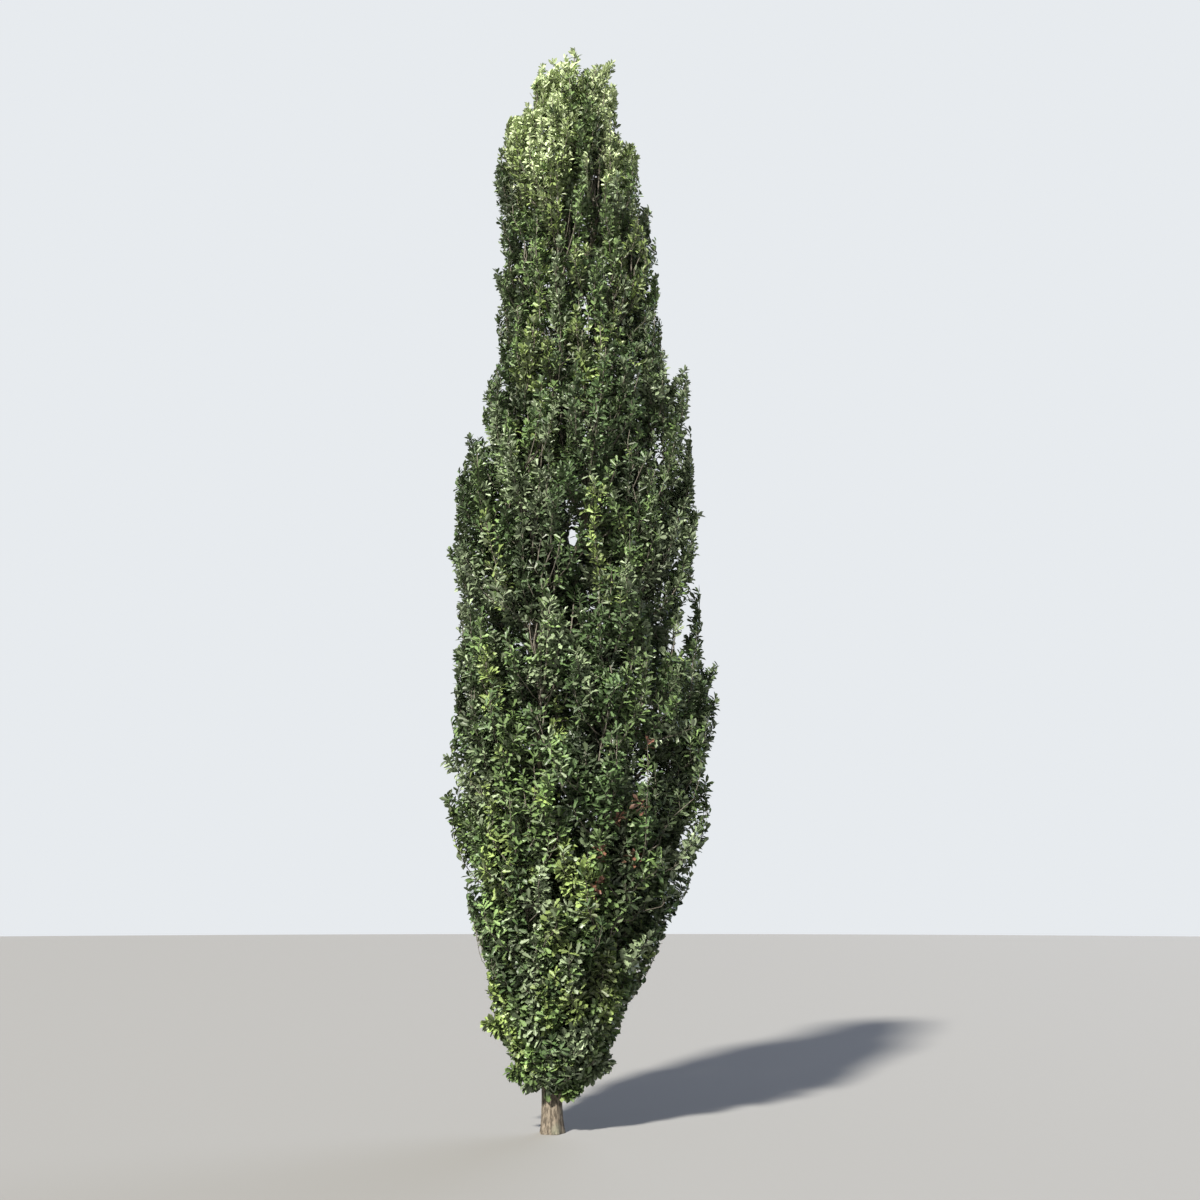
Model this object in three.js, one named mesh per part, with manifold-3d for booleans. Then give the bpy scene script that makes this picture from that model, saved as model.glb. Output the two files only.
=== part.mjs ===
// A columnar oak: a short clear trunk that runs on as the leader, steep boughs that leave it all
// round, and one mass of foliage on the end of each bough. A mass is a stem that swells to a dense
// core, with twigs and leaves on its outer face, and it keeps to its own share of the crown.
// Millimetres, +Z up. The origin is the middle of the flat cut at ground level, +X is the crown's
// fuller side and -Y is its front.
import * as THREE from "three";
import { mergeVertices } from "three/addons/utils/BufferGeometryUtils.js";
import Module from "manifold-3d";

const wasm = await Module();
wasm.setup();

// Trunk
const treeHeight = 9700;
const trunkTop = 8900; // the leader's mass of foliage goes on from here
const trunkRadius = 78;
const trunkTipRadius = 9;
const trunkTaper = 0.85;
const flareRadius = 19; // what the root flare adds at the ground
const flareHeight = 110;
const rootLobes = 5;
const rootLobeDepth = 9;
const leanAtTop = 130;
const sideSweep = 60; // how far the trunk bows to the left and in depth on its way up
const depthSweep = 35;
const trunkSides = 12;
const trunkSteps = 18;
const ringCrowding = 1.6; // rings crowd towards the root flare

// Crown outline seen from the front: height, reach to the left and reach to the right
const crownOutline = [
  [260, 150, 200],
  [600, 370, 480],
  [1000, 540, 680],
  [1600, 690, 980],
  [2200, 830, 1250],
  [2800, 910, 1300],
  [3400, 880, 1410],
  [3800, 900, 1240],
  [4500, 930, 1250],
  [5100, 930, 1240],
  [5600, 820, 1200],
  [6250, 620, 1190],
  [6450, 540, 930],
  [6900, 590, 940],
  [7430, 510, 910],
  [7700, 620, 880],
  [8300, 640, 730],
  [8600, 560, 740],
  [8830, 490, 540],
  [9200, 290, 540],
  [9480, 200, 480],
  [9700, -70, 200],
];

// Masses of foliage, tier by tier, evenly spaced round the trunk: the bearing of the first one's
// bough in degrees, each mass's girth as a share of the crown's radius, and the heights of the
// masses' feet and tips
const tiers = [
  {
    name: "skirt",
    bearing: 20,
    girth: 0.46,
    feet: [300, 330, 310, 290, 270],
    tips: [2150, 2050, 1950, 2080, 2200],
  },
  {
    name: "waist",
    bearing: 356,
    girth: 0.41,
    feet: [1500, 1380, 1420, 1350, 1500],
    tips: [3950, 3600, 3450, 3400, 3650],
  },
  {
    name: "belly",
    bearing: 24,
    girth: 0.41,
    feet: [2850, 2700, 2750, 2900, 2950],
    tips: [4880, 4330, 5000, 5350, 5150],
  },
  {
    name: "shoulder",
    bearing: 352,
    girth: 0.41,
    feet: [4450, 4300, 4350, 4400, 4780],
    tips: [6480, 6250, 6450, 6380, 6800],
  },
  {
    name: "neck",
    bearing: 28,
    girth: 0.44,
    feet: [6050, 5750, 5850, 5900, 6250],
    tips: [8650, 7900, 7420, 7950, 8250],
  },
  {
    name: "top",
    bearing: 60,
    girth: 0.5,
    feet: [7500, 7050, 7600],
    tips: [9420, 8980, 9330],
  },
];
const leaderMass = { foot: 8500, tip: 9690, halfWidth: 260 };
const bellyAt = 0.42; // share of a mass's height at which it is widest
const footWidth = 0.65; // its half-width at the foot and at the tip, as a share of the widest
const tipWidth = 0.55;
const mostGirth = 0.46; // its half-width is at most this share of the crown's radius beside it
const footInset = 0.16; // how far its foot stands in from the crown's outline, as a share
const leastOffset = 0.35; // how far its axis stands off the crown's middle, in half-widths
const stemStart = 0.07; // shares of a mass's height at which its stem starts and ends
const stemEnd = 0.93;
const topLeafEnd = 0.998; // where the leaf on the tip of its stem ends
const spaceMargin = 0.06; // left free between two masses, in half-widths, and between their cores
const coreMargin = 0.08;
const spaceReach = 1.7; // how far out its space goes at most, in half-widths

// Places where the sky shows through the crown: x, height, half-width and half-height
const skyGaps = [
  [95, 4740, 75, 400],
  [900, 5500, 45, 260],
  [975, 3860, 50, 280],
];

// Boughs
const boughRise = 620; // height from a bough's root to the foot of its mass
const lowestRoot = 335;
const boughRootShare = 0.5; // its radius at the root, as a share of the trunk's there
const boughTaper = 0.7;
const boughSlope = 0.75; // how far it leaves outwards for each millimetre up
const boughBends = [0.38, 0.35]; // lengths of the handles at its two ends, as shares of its reach
const boughSides = 5;
const boughSteps = 4;
const touchGap = 0.3;

// Stem and core of a mass
const stemRadius = 13;
const stemTipRadius = 5;
const coreWidth = 1.6; // its greatest half-width, as a share of the mass's
const coreInset = 0.8; // the share of the crown's radius that it reaches
const coreBlunt = 0.3; // how blunt its ends are: 1 is a spindle
const coreLumps = [0.12, 0.08]; // how far it swells and shrinks round its axis and along it
const coreSides = 7;
const coreRings = 5;
const coreFrom = 0.05; // shares of the stem's length at which the core starts and ends
const coreTo = 0.97;
const coreClearance = 30; // from the limbs that pass
const limbClearance = 8;
const coreLook = [0.6, 0.3]; // how much of a facet's half-width and half-height is kept clear
const shrink = 0.9;

// Twigs and leaves
const twigsPerMass = 6;
const twigTries = 40;
const twigSpread = 85; // how far they turn from the mass's bearing, in degrees
const twigRise = 0.12; // share of the mass's height that one climbs from its root to its end
const twigInset = 0.93; // share of the crown's radius that it reaches
const twigRadius = 8;
const twigTipRadius = 6;
const lastLeafAt = 0.98; // share of the twig's length
const leafLength = 1.1; // of the mass's greatest half-width: each leaf stands for a leafy spray
const leastLeaf = 0.5;
const leafWidth = 0.52; // the rest are shares of the leaf's own length
const leafThickness = 0.05;
const leafWidestAt = 0.58;
const leafSunk = 1.5; // its root lies in the middle of the twig
const leafInset = 1.03; // the share of the crown's radius that its tip reaches
const leafTilts = [36, 24, 50, 64, 12]; // from upright: the first that is clear is taken
const leafTurn = 60;
// A leaf's place between the core and its twig's end, and the side it leans to
const leavesPerTwig = [
  [0.15, 1],
  [0.6, -1],
  [1, 0],
];
const goldenShare = 0.618; // steps of two even spreads
const silverShare = 0.755;

const radians = THREE.MathUtils.degToRad;
const mix = THREE.MathUtils.lerp;
const point = (x, y, z) => new THREE.Vector3(x, y, z);

// A small random source with a seed, so that the tree grows the same way every time
function seeded(seed) {
  let state = seed >>> 0;
  return () => {
    state = (state + 0x6d2b79f5) >>> 0;
    let n = Math.imul(state ^ (state >>> 15), state | 1);
    n ^= n + Math.imul(n ^ (n >>> 7), n | 61);
    return ((n ^ (n >>> 14)) >>> 0) / 4294967296;
  };
}

// The crown's middle and its radius at a height
function crownAt(height) {
  const rows = crownOutline;
  let i = 0;
  while (i < rows.length - 2 && rows[i + 1][0] < height) i += 1;
  const [low, high] = [rows[i], rows[i + 1]];
  const t = THREE.MathUtils.clamp((height - low[0]) / (high[0] - low[0]), 0, 1);
  const left = mix(low[1], high[1], t);
  const right = mix(low[2], high[2], t);
  return { middle: (right - left) / 2, radius: (right + left) / 2 };
}

function trunkAt(height) {
  const s = height / treeHeight;
  const x = leanAtTop * s * s - sideSweep * Math.sin(Math.PI * s);
  return point(x, depthSweep * Math.sin(2 * Math.PI * s), height);
}

function trunkRadiusAt(height) {
  const up = Math.max(0, 1 - height / trunkTop);
  return trunkTipRadius + (trunkRadius - trunkTipRadius) * up ** trunkTaper;
}

// A mass's outline along its height: narrow at the foot, widest at its belly, drawn in to its tip
function massWidth(t) {
  if (t < bellyAt) return mix(footWidth, 1, Math.sin((Math.PI / 2) * (t / bellyAt)));
  return mix(tipWidth, 1, Math.cos((Math.PI / 2) * ((t - bellyAt) / (1 - bellyAt))));
}

function makeMass(name, bearing, foot, tip, girth, seed) {
  const belly = crownAt(mix(foot, tip, bellyAt));
  const widest = girth * belly.radius;
  const across = point(Math.cos(radians(bearing)), Math.sin(radians(bearing)), 0);
  const mass = { name, bearing, foot, tip, widest, seed, spread: twigSpread };
  mass.halfWidth = (t) => Math.min(widest * massWidth(t), mostGirth * crownAt(mix(foot, tip, t)).radius);
  mass.axis = (t) => {
    const height = mix(foot, tip, t);
    const crown = crownAt(height);
    const inset = footInset * Math.max(0, 1 - t / bellyAt) ** 2;
    const out = Math.max(crown.radius * (1 - inset) - mass.halfWidth(t), leastOffset * mass.halfWidth(t));
    return point(crown.middle, 0, height).addScaledVector(across, out);
  };
  return mass;
}

const masses = [];
for (const { name, bearing, girth, feet, tips } of tiers) {
  feet.forEach((foot, i) => {
    const turn = bearing + (360 * i) / feet.length;
    masses.push(makeMass(`${name}_${i + 1}`, turn, foot, tips[i], girth, masses.length + 1));
  });
}
const leader = { name: "leader", bearing: 0, ...leaderMass, widest: leaderMass.halfWidth };
leader.seed = masses.length + 1;
leader.spread = 180;
leader.halfWidth = (t) => leaderMass.halfWidth * massWidth(t);
leader.axis = (t) => trunkAt(mix(leader.foot, leader.tip, t));
masses.push(leader);

// How far out a point lies in a mass: 0 on its axis and 1 at its edge
function share(mass, p) {
  const t = (p.z - mass.foot) / (mass.tip - mass.foot);
  if (t <= 0 || t >= 1) return Infinity;
  const axis = mass.axis(t);
  return Math.hypot(p.x - axis.x, p.y - axis.y) / mass.halfWidth(t);
}

function inSkyGap(p) {
  return skyGaps.some(([x, height, half, tall]) => {
    return ((p.x - x) / half) ** 2 + ((p.z - height) / tall) ** 2 < 1;
  });
}

// How far out a point lies in the crown: 0 in its middle and 1 on its outline
function crownShare(p) {
  const { middle, radius } = crownAt(p.z);
  return Math.hypot(p.x - middle, p.y) / radius;
}

// A mass keeps to the points that lie further into it than into any other
function inSpace(mass, p, inset, margin = spaceMargin) {
  const own = share(mass, p);
  if (own > spaceReach || crownShare(p) > inset || inSkyGap(p)) return false;
  return masses.every((other) => other === mass || share(other, p) > own + margin);
}

// Closed geometry as a solid of manifold-3d, and back again
function toSolid(geometry) {
  geometry.deleteAttribute("normal");
  geometry.deleteAttribute("uv");
  const merged = mergeVertices(geometry, 1e-3);
  return new wasm.Manifold(
    new wasm.Mesh({
      numProp: 3,
      vertProperties: new Float32Array(merged.attributes.position.array),
      triVerts: new Uint32Array(merged.index.array),
    }),
  );
}

function toGeometry(solid) {
  const mesh = solid.getMesh();
  const geometry = new THREE.BufferGeometry();
  geometry.setAttribute("position", new THREE.BufferAttribute(mesh.vertProperties, 3));
  geometry.setIndex(new THREE.BufferAttribute(mesh.triVerts, 1));
  geometry.computeVertexNormals();
  return geometry;
}

// A cylinder bent along a curve; radiusAt takes the place along it and the angle round it
function limbSolid(curve, radiusAt, sides, steps) {
  const geometry = new THREE.CylinderGeometry(1, 1, 1, sides, steps);
  const position = geometry.attributes.position;
  for (let i = 0; i < position.count; i += 1) {
    const t = position.getY(i) + 0.5;
    const along = curve.getTangent(t);
    const side = point(1, 0, 0).addScaledVector(along, -along.x).normalize();
    const back = side.clone().cross(along);
    const angle = Math.atan2(position.getZ(i), position.getX(i));
    const radius = radiusAt(t, angle);
    const p = curve.getPoint(t);
    p.addScaledVector(side, position.getX(i) * radius).addScaledVector(back, position.getZ(i) * radius);
    position.setXYZ(i, p.x, p.y, p.z);
  }
  return toSolid(geometry);
}

class TrunkCurve extends THREE.Curve {
  getPoint(t) {
    return trunkAt(trunkTop * t ** ringCrowding);
  }
  getTangent(t) {
    if (t === 0) return point(0, 0, 1); // the foot is cut level
    return super.getTangent(t);
  }
}

function trunkSolid(extra) {
  return limbSolid(
    new TrunkCurve(),
    (t, angle) => {
      const height = trunkTop * t ** ringCrowding;
      const low = Math.exp(-height / flareHeight);
      const lobes = rootLobeDepth * low * Math.cos(rootLobes * angle + 0.6);
      return trunkRadiusAt(height) + flareRadius * low + lobes + extra;
    },
    trunkSides,
    trunkSteps,
  );
}

class StemCurve extends THREE.Curve {
  constructor(mass, from, to) {
    super();
    Object.assign(this, { mass, from, to });
  }
  getPoint(t) {
    return this.mass.axis(mix(this.from, this.to, t));
  }
}

// The stem of a mass starts where its bough ends, or on the trunk's tip
function stemCurve(mass) {
  const from = mass === leader ? (trunkTop - leader.foot) / (leader.tip - leader.foot) : stemStart;
  const curve = new StemCurve(mass, from, stemEnd);
  const start = curve.getPoint(0);
  const along = curve.getTangent(0);
  return { curve, start, along, from };
}

// A bough leaves the trunk steeply and turns up into its mass's stem
function boughCurve(mass) {
  const { start: end, along } = stemCurve(mass);
  const rootHeight = Math.max(lowestRoot, mass.foot - boughRise);
  const root = trunkAt(rootHeight);
  const reach = end.distanceTo(root);
  const outward = point(end.x - root.x, end.y - root.y, 0).normalize();
  const leave = outward.multiplyScalar(boughSlope).add(point(0, 0, 1)).normalize();
  const curve = new THREE.CubicBezierCurve3(
    root,
    root.clone().addScaledVector(leave, reach * boughBends[0]),
    end.clone().addScaledVector(along, -reach * boughBends[1]),
    end,
  );
  return { curve, rootHeight };
}

function boughRadius(rootHeight, t) {
  return mix(trunkRadiusAt(rootHeight) * boughRootShare, stemRadius, t ** boughTaper);
}

function boughSolid(mass, extra) {
  const { curve, rootHeight } = boughCurve(mass);
  return limbSolid(curve, (t) => boughRadius(rootHeight, t) + extra, boughSides, boughSteps);
}

// Where the limbs run, as short straight stretches with a radius, so that twigs can keep clear
const stretches = [];
function noteStretches(curve, radiusAt, steps, owner) {
  for (let i = 0; i < steps; i += 1) {
    const line = new THREE.Line3(curve.getPoint(i / steps), curve.getPoint((i + 1) / steps));
    stretches.push({ line, radius: radiusAt(i / steps), owner });
  }
}

function nearLimb(p, mass, clearance) {
  const nearest = point(0, 0, 0);
  return stretches.some(({ line, radius, owner }) => {
    if (owner === mass) return false;
    line.closestPointToPoint(p, true, nearest);
    return nearest.distanceTo(p) < radius + clearance;
  });
}

// The stem of a mass, which swells to the dense inside of the foliage: a lumpy solid that keeps
// to the mass's space and goes round the limbs that pass
function coreShape(mass, limbs, size) {
  const { curve, along, from } = stemCurve(mass);
  const random = seeded(mass.seed * 101);
  const [roundTurn, alongTurn] = [random() * 6, random() * 6];
  const places = [0, coreFrom / 2];
  for (let i = 0; i < coreRings; i += 1) {
    places.push(mix(coreFrom, coreTo, (i + 0.4) / (coreRings - 0.2)));
  }
  places.push(1);
  const steps = places.length - 1;
  const placeAt = (t) => places[Math.round(t * steps)];
  const spaced = new THREE.Curve();
  spaced.getPoint = (t) => curve.getPoint(placeAt(t)).addScaledVector(along, touchGap);
  spaced.getTangent = (t) => curve.getTangent(placeAt(t));
  const clearAt = (axis, angle, radius) => {
    const p = axis.clone().add(point(radius * Math.cos(angle), -radius * Math.sin(angle), 0));
    return inSpace(mass, p, coreInset, coreMargin) && !nearLimb(p, mass, coreClearance);
  };
  const turn = (coreLook[0] * Math.PI) / coreSides;
  const step = coreLook[1] / coreRings;
  const radiusAt = (t, angle) => {
    const place = placeAt(t);
    const up = THREE.MathUtils.clamp((place - coreFrom) / (coreTo - coreFrom), 0, 1);
    const dome = Math.sin(Math.PI * up) ** coreBlunt;
    const round = coreLumps[0] * Math.sin(3 * angle + roundTurn + 9 * up);
    const lumpy = 1 + round + coreLumps[1] * Math.sin(14 * up + alongTurn);
    const stem = mix(stemRadius, stemTipRadius, place);
    let radius = stem + size * mass.halfWidth(mix(from, stemEnd, place)) * coreWidth * dome * lumpy;
    const rings = [place, Math.max(0, place - step), Math.min(1, place + step)];
    const axes = rings.map((at) => curve.getPoint(at));
    const angles = [angle, angle - turn, angle + turn];
    while (radius > stem && !axes.every((axis) => angles.every((a) => clearAt(axis, a, radius)))) {
      radius -= 8;
    }
    return Math.max(radius, stem);
  };
  return limbSolid(spaced, radiusAt, coreSides, steps).subtract(limbs);
}

// The largest core that also touches no mass that is there already
function coreSolid(mass, [limbs, ...built]) {
  for (let size = 1; size > 0.2; size *= shrink) {
    const core = coreShape(mass, limbs, size);
    if (built.every((other) => core.intersect(other).isEmpty())) return core;
  }
  return coreShape(mass, limbs, 0);
}

// A leaf is a long flat diamond, thickest on its midrib and widest past its middle
function leafSolid(base, tip, flat, length) {
  const geometry = new THREE.OctahedronGeometry(1);
  const position = geometry.attributes.position;
  const along = tip.clone().sub(base).normalize();
  const side = flat.clone().cross(along).normalize();
  const face = along.clone().cross(side);
  for (let i = 0; i < position.count; i += 1) {
    const [x, y, z] = [position.getX(i), position.getY(i), position.getZ(i)];
    const place = y > 0.5 ? length : y < -0.5 ? -leafSunk : leafWidestAt * length;
    const p = base.clone().addScaledVector(along, place);
    p.addScaledVector(side, (-x * leafWidth * length) / 2);
    p.addScaledVector(face, (z * leafThickness * length) / 2);
    position.setXYZ(i, p.x, p.y, p.z);
  }
  return toSolid(geometry);
}

// Twigs climb from the stem to the crown's outside, spread evenly over the mass's outer face
function twigsOf(mass) {
  const random = seeded(mass.seed);
  const { from } = stemCurve(mass);
  const turn = random();
  const rise = random();
  const twigs = [];
  for (let k = 0; twigs.length < twigsPerMass && k < twigTries; k += 1) {
    const t = mix(0.08, 0.94, (rise + k * goldenShare) % 1);
    const angle = radians(mass.bearing + mix(-mass.spread, mass.spread, (turn + k * silverShare) % 1));
    const outward = point(Math.cos(angle), Math.sin(angle), 0);
    const axis = mass.axis(t);
    const at = (out) => axis.clone().addScaledVector(outward, out);
    let out = 0;
    while (inSpace(mass, at(out + 10), twigInset)) out += 10;
    if (crownShare(at(out + 10)) < twigInset) continue;
    const root = mass.axis(THREE.MathUtils.clamp(t - twigRise, from + 0.02, stemEnd - 0.02));
    twigs.push({ root, end: at(out), outward, side: k % 2 ? 1 : -1 });
  }
  return twigs;
}

// The largest leaf at a place that keeps to its mass's space and touches nothing else
function leafAt(mass, others, base, heading) {
  const inside = (leaf) => {
    const { vertProperties: v } = leaf.getMesh();
    for (let i = 0; i < v.length; i += 3) {
      const corner = point(v[i], v[i + 1], v[i + 2]);
      if (!inSpace(mass, corner, leafInset)) return false;
      if (!inSpace(mass, corner.lerp(base, 0.5), leafInset)) return false;
    }
    return true;
  };
  for (let length = leafLength * mass.widest; length > leastLeaf * mass.widest; length *= shrink) {
    for (const tilt of leafTilts) {
      const lean = radians(tilt);
      const along = heading.clone().multiplyScalar(Math.sin(lean)).add(point(0, 0, Math.cos(lean)));
      const leaf = leafSolid(base, base.clone().addScaledVector(along, length), heading, length);
      if (inside(leaf) && others.every((other) => leaf.intersect(other).isEmpty())) return leaf;
    }
  }
  return null;
}

// A mass is its core, its twigs and their leaves, with one leaf on the tip of its stem
function massSolid(mass, obstacles) {
  const core = coreSolid(mass, obstacles);
  const tip = mass.axis(stemEnd);
  const top = mass.axis(topLeafEnd);
  const leaves = [leafSolid(tip, top, point(0, 1, 0), top.distanceTo(tip))];
  const twigs = [];
  for (const { root, end, outward, side } of twigsOf(mass)) {
    const curve = new THREE.LineCurve3(root, end);
    const twig = limbSolid(curve, (t) => mix(twigRadius, twigTipRadius, t), 3, 1);
    if (![...obstacles, ...leaves].every((other) => twig.intersect(other).isEmpty())) continue;
    let bare = 0; // the share of the twig that the core hides
    while (bare < 0.9 && crownShare(curve.getPoint(bare)) < coreInset) bare += 0.05;
    const grown = [];
    for (const [place, hand] of leavesPerTwig) {
      const heading = outward.clone().applyAxisAngle(point(0, 0, 1), radians(leafTurn * hand * side));
      const others = [...obstacles, core, ...twigs, ...leaves, ...grown];
      const leaf = leafAt(mass, others, curve.getPoint(mix(bare, lastLeafAt, place)), heading);
      if (leaf) grown.push(leaf);
    }
    if (!grown.length) continue;
    twigs.push(twig);
    leaves.push(...grown);
  }
  // The fused mass is its one largest body: loose scraps go
  const bodies = wasm.Manifold.union([core, ...twigs, ...leaves]).decompose();
  return bodies.sort((a, b) => b.volume() - a.volume())[0];
}

const bark = new THREE.MeshStandardMaterial({ color: 0x8b8070, roughness: 0.9, metalness: 0 });
const foliage = new THREE.MeshStandardMaterial({ color: 0x4d6b3a, roughness: 0.6, metalness: 0 });
const tree = new THREE.Group();

function add(name, solid, material) {
  const mesh = new THREE.Mesh(toGeometry(solid), material);
  mesh.name = name;
  tree.add(mesh);
}

add("trunk", trunkSolid(0), bark);
const trunkCutter = trunkSolid(touchGap);

const limbCutters = [trunkSolid(limbClearance)];
noteStretches(new TrunkCurve(), (t) => trunkRadiusAt(trunkTop * t ** ringCrowding), 30, leader);
for (const mass of masses) {
  if (mass === leader) continue;
  add(`bough_${mass.name}`, boughSolid(mass, 0).subtract(trunkCutter), bark);
  limbCutters.push(boughSolid(mass, limbClearance));
  const { curve, rootHeight } = boughCurve(mass);
  noteStretches(curve, (t) => boughRadius(rootHeight, t), 10, mass);
}
const obstacles = [wasm.Manifold.union(limbCutters)];
for (const mass of masses) {
  const solid = massSolid(mass, obstacles);
  obstacles.push(solid);
  add(`foliage_${mass.name}`, solid, foliage);
}

export default tree;
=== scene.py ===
# A columnar oak: trunk and boughs with relief in their bark, the twigs that climb from them, and
# the leaves on their shoots. Metres, +Z up, -Y is the front.
import math
import bmesh
import bpy
import numpy as np
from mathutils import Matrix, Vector, noise


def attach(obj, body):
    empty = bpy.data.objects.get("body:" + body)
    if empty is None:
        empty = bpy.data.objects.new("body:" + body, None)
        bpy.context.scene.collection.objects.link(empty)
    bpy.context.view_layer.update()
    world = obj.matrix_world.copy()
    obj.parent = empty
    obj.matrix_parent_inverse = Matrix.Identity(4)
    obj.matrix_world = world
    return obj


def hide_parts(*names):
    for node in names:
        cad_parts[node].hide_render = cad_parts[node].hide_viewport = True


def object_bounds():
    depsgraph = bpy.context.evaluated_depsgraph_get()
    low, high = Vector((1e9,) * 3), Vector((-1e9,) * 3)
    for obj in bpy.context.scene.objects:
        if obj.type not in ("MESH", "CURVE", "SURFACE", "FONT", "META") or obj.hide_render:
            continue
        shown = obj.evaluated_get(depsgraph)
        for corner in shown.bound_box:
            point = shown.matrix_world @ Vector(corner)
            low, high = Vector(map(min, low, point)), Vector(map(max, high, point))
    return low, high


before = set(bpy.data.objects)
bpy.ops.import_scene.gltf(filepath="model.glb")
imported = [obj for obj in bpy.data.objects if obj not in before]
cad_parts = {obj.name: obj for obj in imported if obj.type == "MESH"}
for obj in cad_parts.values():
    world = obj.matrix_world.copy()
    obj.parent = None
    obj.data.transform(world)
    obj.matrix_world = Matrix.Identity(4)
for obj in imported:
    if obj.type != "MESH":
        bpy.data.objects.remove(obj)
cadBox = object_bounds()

rng = np.random.default_rng(4180)


def addObject(name, data):
    made = bpy.data.objects.new(name, data)
    bpy.context.collection.objects.link(made)
    return made


# Camera

view = {
    "lens": 37.5,
    "sensor": 36,
    "place": (0.3694, -10.3258, 1.65),
    "pitch": 14.0147,  # degrees above the level
    "sight": 400,
}
cameraData = bpy.data.cameras.new("camera")
cameraData.lens = view["lens"]
cameraData.sensor_width = view["sensor"]
cameraData.clip_end = view["sight"]
camera = addObject("camera", cameraData)
camera.location = view["place"]
camera.rotation_euler = (math.radians(90 + view["pitch"]), 0, 0)
bpy.context.scene.camera = camera

# Light and floor

light = {
    # where each comes from, its strength, degrees across and colour
    "lamps": {
        "sun": ((-0.33, -0.70, 0.63), 7.0, 5, (1, 0.96, 0.88)),
        "backLight": ((0.50, 0.72, 0.48), 1.6, 50, (0.74, 0.82, 1)),
    },
    "fill": (0.74, 0.82, 1),
    "fillStrength": 0.17,
    "backdrop": (0.80, 0.83, 0.86),
    "floor": (0.32, 0.316, 0.307),
    "floorRoughness": 0.9,
    "floorReach": 90,
}
for name, (source, strength, softness, colour) in light["lamps"].items():
    lampData = bpy.data.lights.new(name, "SUN")
    lampData.energy = strength
    lampData.angle = math.radians(softness)
    lampData.color = colour
    addObject(name, lampData).rotation_euler = Vector(source).to_track_quat("Z", "Y").to_euler()
bpy.context.scene.view_settings.view_transform = "Standard"


def newMaterial(name):
    material = bpy.data.materials.new(name)
    material.use_nodes = True
    return material, material.node_tree, material.node_tree.nodes["Principled BSDF"]


def addNode(tree, kind, **values):
    node = tree.nodes.new("ShaderNode" + kind)
    for key, value in values.items():
        if key in node.bl_rna.properties:
            setattr(node, key, value)
        else:
            node.inputs[key.replace("_", " ")].default_value = value
    return node


def spreadOver(tree, start, end, low=0, high=1):
    return addNode(tree, "MapRange", From_Min=start, From_Max=end, To_Min=low, To_Max=high)


def mathNode(tree, operation, second=0.5):
    node = addNode(tree, "Math", operation=operation)
    node.inputs[1].default_value = second
    return node


def wire(tree, *links):
    for source, output, target, socket in links:
        tree.links.new(source.outputs[output], target.inputs[socket])


# the lens sees a plain backdrop, and the tree gets a weak blue fill
world = bpy.data.worlds.new("studio")
world.use_nodes = True
tree = world.node_tree
tree.nodes.clear()
path = addNode(tree, "LightPath")
fill = addNode(tree, "Background", Color=(*light["fill"], 1), Strength=light["fillStrength"])
plain = addNode(tree, "Background", Color=(*light["backdrop"], 1), Strength=1)
choose = addNode(tree, "MixShader")
worldOut = addNode(tree, "OutputWorld")
wire(
    tree, (path, "Is Camera Ray", choose, 0), (fill, 0, choose, 1), (plain, 0, choose, 2),
    (choose, 0, worldOut, "Surface"))
bpy.context.scene.world = world

bm = bmesh.new()
bmesh.ops.create_circle(bm, cap_ends=True, radius=light["floorReach"], segments=96)
floorMesh = bpy.data.meshes.new("floor")
bm.to_mesh(floorMesh)
bm.free()
floor = addObject("floor", floorMesh)
floorPaint, _, shader = newMaterial("floorPaint")
shader.inputs["Base Color"].default_value = (*light["floor"], 1)
shader.inputs["Roughness"].default_value = light["floorRoughness"]
floorMesh.materials.append(floorPaint)
print("stage ready")

# The tree's rule: the source's crown and masses

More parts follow.
